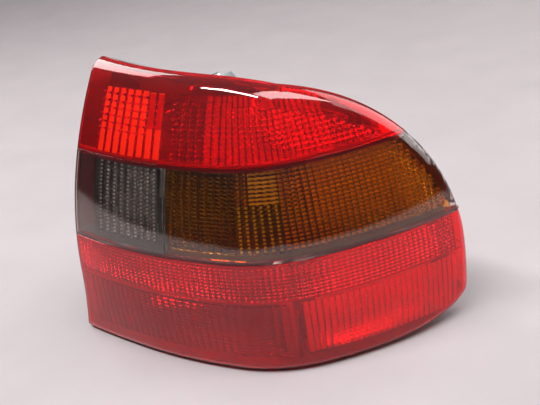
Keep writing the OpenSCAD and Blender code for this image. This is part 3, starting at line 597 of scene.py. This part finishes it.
def acrylic(name, colour, haze, clarity=1.0):
    """Clear moulded acrylic: its gloss is broken by patches of faint handling haze."""
    made, tree, shader, place = new_material(name)
    shader.inputs["Base Color"].default_value = srgb(colour)
    shader.inputs["IOR"].default_value = 1.49
    shader.inputs["Transmission Weight"].default_value = clarity
    cloud = add(tree, "ShaderNodeTexNoise", {
        "Vector": place, "Scale": pattern_scale(HAZE_SIZE), "Detail": 4.0})
    gloss = add(tree, "ShaderNodeMapRange", {
        "Value": cloud.outputs["Fac"], "From Min": 0.35, "From Max": 0.7, "To Min": 0.0, "To Max": haze})
    tree.links.new(gloss.outputs["Result"], shader.inputs["Roughness"])
    return made


def metal(name, colour, rough, grain_size, bump):
    """Bare or plated metal: bumps, with their size and height in millimetres, soften its reflections."""
    made, tree, shader, place = new_material(name)
    shader.inputs["Base Color"].default_value = srgb(colour)
    shader.inputs["Metallic"].default_value = 1.0
    grain = add(tree, "ShaderNodeTexNoise", {
        "Vector": place, "Scale": pattern_scale(grain_size), "Detail": 2.0}).outputs["Fac"]
    worn = add(tree, "ShaderNodeMapRange", {"Value": grain, "To Min": rough * 0.7, "To Max": rough * 1.3})
    tree.links.new(worn.outputs["Result"], shader.inputs["Roughness"])
    relief = add(tree, "ShaderNodeBump", {"Height": grain, "Strength": 0.3, "Distance": bump * MM})
    tree.links.new(relief.outputs["Normal"], shader.inputs["Normal"])
    return made


def dull(name, colour, rough, grain_size, bump):
    """Plastic or rubber: a moulded grain, with its size and height in millimetres."""
    made, tree, shader, place = new_material(name)
    grain = add(tree, "ShaderNodeTexNoise", {
        "Vector": place, "Scale": pattern_scale(grain_size), "Detail": 3.0}).outputs["Fac"]
    tone = add(tree, "ShaderNodeMix", {"Factor": grain}, data_type="RGBA")
    base = srgb(colour)
    tone.inputs["A"].default_value = [c * 0.9 for c in base[:3]] + [1.0]
    tone.inputs["B"].default_value = [min(1.0, c * 1.1) for c in base[:3]] + [1.0]
    tree.links.new(tone.outputs["Result"], shader.inputs["Base Color"])
    shader.inputs["Roughness"].default_value = rough
    relief = add(tree, "ShaderNodeBump", {"Height": grain, "Strength": 0.5, "Distance": bump * MM})
    tree.links.new(relief.outputs["Normal"], shader.inputs["Normal"])
    return made


# Injection-moulded acrylic, clear through its colour: a deep glow with a sharp gloss on it. The last number
# of each is how clear it is. The rest of the light is spread inside it, as a used lens's haze spreads it; on
# the crowns below, the low clarity paints glints and glow.
red = acrylic("red acrylic, moulded gloss", "FF303C", 0.03, 0.975)
# The lower band is a little hazier from handling and spray, and a larger diffuse share paints it paler and
# more even: partly painted light.
low_red_hazed_painted_lighter = acrylic("red acrylic, hazed by handling and painted lighter", "FF303C", 0.05, 0.945)
# Painted glints: the crowns of the pillows get a larger diffuse share, so they stand out as bright dots on a
# darker ground.
red_crown_glint = acrylic("red acrylic, painted glints on the pillows' crowns", "FF303C", 0.03, 0.74)
# Before the stop light's bowl the same crowns carry a painted orange glow.
stop_crown_glow = acrylic("red acrylic, painted orange glow on the stop light's flutes", "FFC42C", 0.03, 0.3)
# On the side the flutes carry painted highlights, and stand out as pale upright bars.
side_crown_highlight = acrylic("red acrylic, painted highlights on the side flutes", "FF3A3E", 0.03, 0.5)
# The skirt and the seams are seen edge-on, through a long way of acrylic: a deep, almost closed red. The
# same red is painted as a dark line across the lower shot's flat inner face, where the lens has a step that
# isn't modelled.
red_skirt = acrylic("red acrylic, seen edge-on in the skirt, and the dark line", "A01420", 0.03, 0.3)
# Smoked acrylic: a brownish-grey veil that dims what lies behind it, and keeps its full gloss.
smoke = acrylic("smoked acrylic, moulded gloss", "E0D5CF", 0.03)
# Its seams carry painted red light from their red neighbours: a dark wine-coloured line.
smoke_skirt_red_spill = acrylic("smoked acrylic, seen edge-on in the skirt", "6A1820", 0.03, 0.3)
# Amber acrylic: warm brown where nothing is lit behind it, with painted honey-coloured glints on its crowns.
amber = acrylic("amber acrylic, moulded gloss", "FFA908", 0.03)
amber_crown_glint = acrylic("amber acrylic, painted glints on the pillows' crowns", "FFB010", 0.03, 0.2)
# Painted shade: next to the divider hardly any light comes back through it, so the amber is painted a dark
# brown.
shaded_amber = acrylic("amber acrylic, painted shade by the divider", "C06210", 0.03)
# Painted light: where the bulb's bowl would shine through, the amber is painted as a bright yellow pane.
yellow = acrylic("yellow acrylic, painted glow of the pane before the bulb", "FFF04A", 0.03)
# Painted glints: the crowns before the bulb are painted as bright yellow dots.
yellow_crown_glint = acrylic("yellow acrylic, painted glints before the bulb", "FFF04A", 0.03, 0.1)
# Clear acrylic: colourless and dark between its pillows, with painted milky-white glints on their crowns.
clear = acrylic("clear acrylic, moulded gloss", "E2E4E4", 0.02)
clear_crown_glint = acrylic("clear acrylic, painted white glints on the pillows' crowns", "F4F6F6", 0.02, 0.2)
# Thin blown glass: all but invisible, with a sharp glint.
glass = acrylic("blown clear glass", "FAFCFC", 0.01)
# Aluminium laid on moulded plastic: a bright mirror that is slightly uneven, as the plastic under it is.
mirror = metal("vacuum-metallised plastic", "F0F0F0", 0.12, 6.0, 0.02)
# Drawn brass strip: yellow and satin.
brass = metal("drawn brass", "D8B472", 0.25, 0.8, 0.01)
# Drawn tungsten: dull grey wire.
tungsten = metal("drawn tungsten wire", "BDBDBD", 0.35, 0.3, 0.005)
# Zinc plate on steel: pale and a little yellow, with soft reflections.
zinc = metal("zinc-plated steel", "CFCDC4", 0.28, 0.9, 0.01)
# Spark-eroded moulded grain, drawn as coarse as it needs to show: a dull grey with a broad sheen.
grey_abs = dull("grey ABS, fine moulded grain", "606365", 0.55, 0.7, 0.03)
# Glass-filled polyamide: off-white, a little waxy.
polyamide = dull("pale polyamide, moulded", "D9D8D0", 0.5, 0.9, 0.02)
# Foamed rubber: matt black with open pores.
rubber = dull("black foam rubber, matt", "232323", 0.85, 0.5, 0.05)


# Finishes of the new pieces: each list stands in the order of the places named with the optics
def dress(piece, slot, *finishes):
    """Gives a new piece its finishes and its place on the one body; slot is not used."""
    if piece.data.materials:
        piece.data.materials.clear()
    for finish in finishes:
        piece.data.materials.append(finish)
    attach(piece, "root")


dress(upper_lens, "red_lens", red, red_skirt, red_crown_glint, stop_crown_glow)
dress(smoked_lens, "smoked_lens", smoke, smoke_skirt_red_spill)
dress(lower_lens, "red_lens", low_red_hazed_painted_lighter, red_skirt, red_crown_glint, side_crown_highlight)
dress(reversing_filter, "clear_lens", clear, clear_crown_glint)
dress(indicator_filter, "amber_lens", amber, amber_crown_glint, yellow_crown_glint, yellow, shaded_amber)
inside = np.array(lined(housing, (upper_lens, smoked_lens, lower_lens)), dtype=np.int32)
dress(housing, "housing_plastic", grey_abs, mirror)
housing.data.polygons.foreach_set("material_index", inside)
for piece in bowls + mirrors:
    dress(piece, "reflector", mirror)

# Finishes of the solids, by the material slots of the record
slot_of = {
    "red_lens": red, "smoked_lens": smoke, "amber_lens": amber, "clear_lens": clear, "bulb_glass": glass,
    "reflector": mirror, "bulb_cap": brass, "contact_brass": brass, "filament": tungsten,
    "stud_steel": zinc, "housing_plastic": grey_abs, "holder_plastic": polyamide, "seal_rubber": rubber}
for sub in frame["record"]["subparts"]:
    node = parts[sub["node"]]
    node.data.materials.clear()
    node.data.materials.append(slot_of[sub["material_slot"]])

# Floor, in metres: it reaches far behind the lamp, so that its end doesn't show
FLOOR_MIDDLE, FLOOR_SIZE = (-0.9, 1.4), (4.0, 4.8)
deselect()
bpy.ops.mesh.primitive_plane_add(size=1, location=(*FLOOR_MIDDLE, FLOOR_Z))
floor = bpy.context.object
floor.scale = (*FLOOR_SIZE, 1)
floor.name = "floor"
# Cotton cloth, drawn plain: a pale grey with soft changes of tone
cloth, tree, shader, place = new_material("pale cotton cloth")
patches = add(tree, "ShaderNodeTexNoise", {
    "Vector": place, "Scale": pattern_scale(TONE_SIZE), "Detail": 5.0}).outputs["Fac"]
tone = add(tree, "ShaderNodeMix", {"Factor": patches}, data_type="RGBA")
tone.inputs["A"].default_value = srgb("777173")
tone.inputs["B"].default_value = srgb("817B7C")
tree.links.new(tone.outputs["Result"], shader.inputs["Base Color"])
shader.inputs["Roughness"].default_value = 0.9
floor.data.materials.append(cloth)

# A dim room with a bright ceiling: what the gloss mirrors, and the light that fills the lamp.
# The camera itself sees an even pale backdrop in its place.
ROOM_LIGHT, CEILING_LIGHT, BACKDROP = 0.07, 0.45, 0.62
CEILING_START = 0.15
scene = bpy.context.scene
scene.view_settings.view_transform = "Standard"
scene.view_settings.look = "None"
world = bpy.data.worlds.new("studio")
world.use_nodes = True
scene.world = world
tree = world.node_tree
way = add(tree, "ShaderNodeTexCoord").outputs["Generated"]
height = add(tree, "ShaderNodeSeparateXYZ", {"Vector": way}).outputs["Z"]
ramp = add(tree, "ShaderNodeMapRange", {"Value": height, "From Min": CEILING_START, "From Max": 1.0,
                                        "To Min": ROOM_LIGHT, "To Max": CEILING_LIGHT})
seen = add(tree, "ShaderNodeLightPath").outputs["Is Camera Ray"]
strength = add(tree, "ShaderNodeMix", {"Factor": seen, "A": ramp.outputs["Result"], "B": BACKDROP})
tree.links.new(strength.outputs["Result"], tree.nodes["Background"].inputs["Strength"])
tree.nodes["Background"].inputs["Color"].default_value = srgb("F4ECEE")

# Lights and camera stand round this point of the lamp, in metres
AIM = Vector((0.1717, -0.128, 0.0838))
CAMERA_AZ, CAMERA_EL, CAMERA_ROLL = 51.6, 23.6, -8.41
CAMERA_DISTANCE, CAMERA_LENS, SENSOR = 0.5733, 67.17, 36.0


def toward(az, el):
    """Direction from the lamp at an azimuth and elevation in degrees. Azimuth 0 looks at the rear skin."""
    a, e = math.radians(az), math.radians(el)
    return Vector((math.sin(a) * math.cos(e), -math.cos(a) * math.cos(e), math.sin(e)))


def panel(name, az, el, distance, size, watts):
    """A soft light panel that faces the lamp."""
    data = bpy.data.lights.new(name, "AREA")
    data.shape = "RECTANGLE"
    data.size, data.size_y = size
    data.energy = watts
    lamp = bpy.data.objects.new(name, data)
    scene.collection.objects.link(lamp)
    lamp.location = AIM + distance * toward(az, el)
    lamp.rotation_euler = (-toward(az, el)).to_track_quat("-Z", "Y").to_euler()


# The skin mirrors what stands at azimuths -51 to 119 and less than 45 degrees high. Each panel keeps clear
# of that, so that only the rolled rim shows it.
# The long narrow key lays a bright streak along the upper rim.
panel("key", 3, 60, 2.4, (2.2, 0.2), 160)
# The side panel lights the lamp from beyond its tip.
panel("side", 158, 28, 1.6, (2.0, 1.4), 30)
# The left panel lights the inner end wall faintly.
panel("left", -92, 30, 1.3, (0.5, 0.7), 8)
# The fill, high over the side, lights the optics through the skin and softens the lamp's shadow.
panel("fill", 100, 66, 2.4, (2.0, 1.0), 66)

camera_data = bpy.data.cameras.new("camera")
camera_data.sensor_width = SENSOR
camera_data.lens = CAMERA_LENS
camera = bpy.data.objects.new("camera", camera_data)
scene.collection.objects.link(camera)
back = toward(CAMERA_AZ, CAMERA_EL)
level_right = toward(CAMERA_AZ + 90, 0)
level_up = back.cross(level_right)
roll = math.radians(CAMERA_ROLL)
right = math.cos(roll) * level_right + math.sin(roll) * level_up
up = math.cos(roll) * level_up - math.sin(roll) * level_right
turn = Matrix((right, up, back)).transposed().to_4x4()
camera.matrix_world = Matrix.Translation(AIM + CAMERA_DISTANCE * back) @ turn
scene.camera = camera
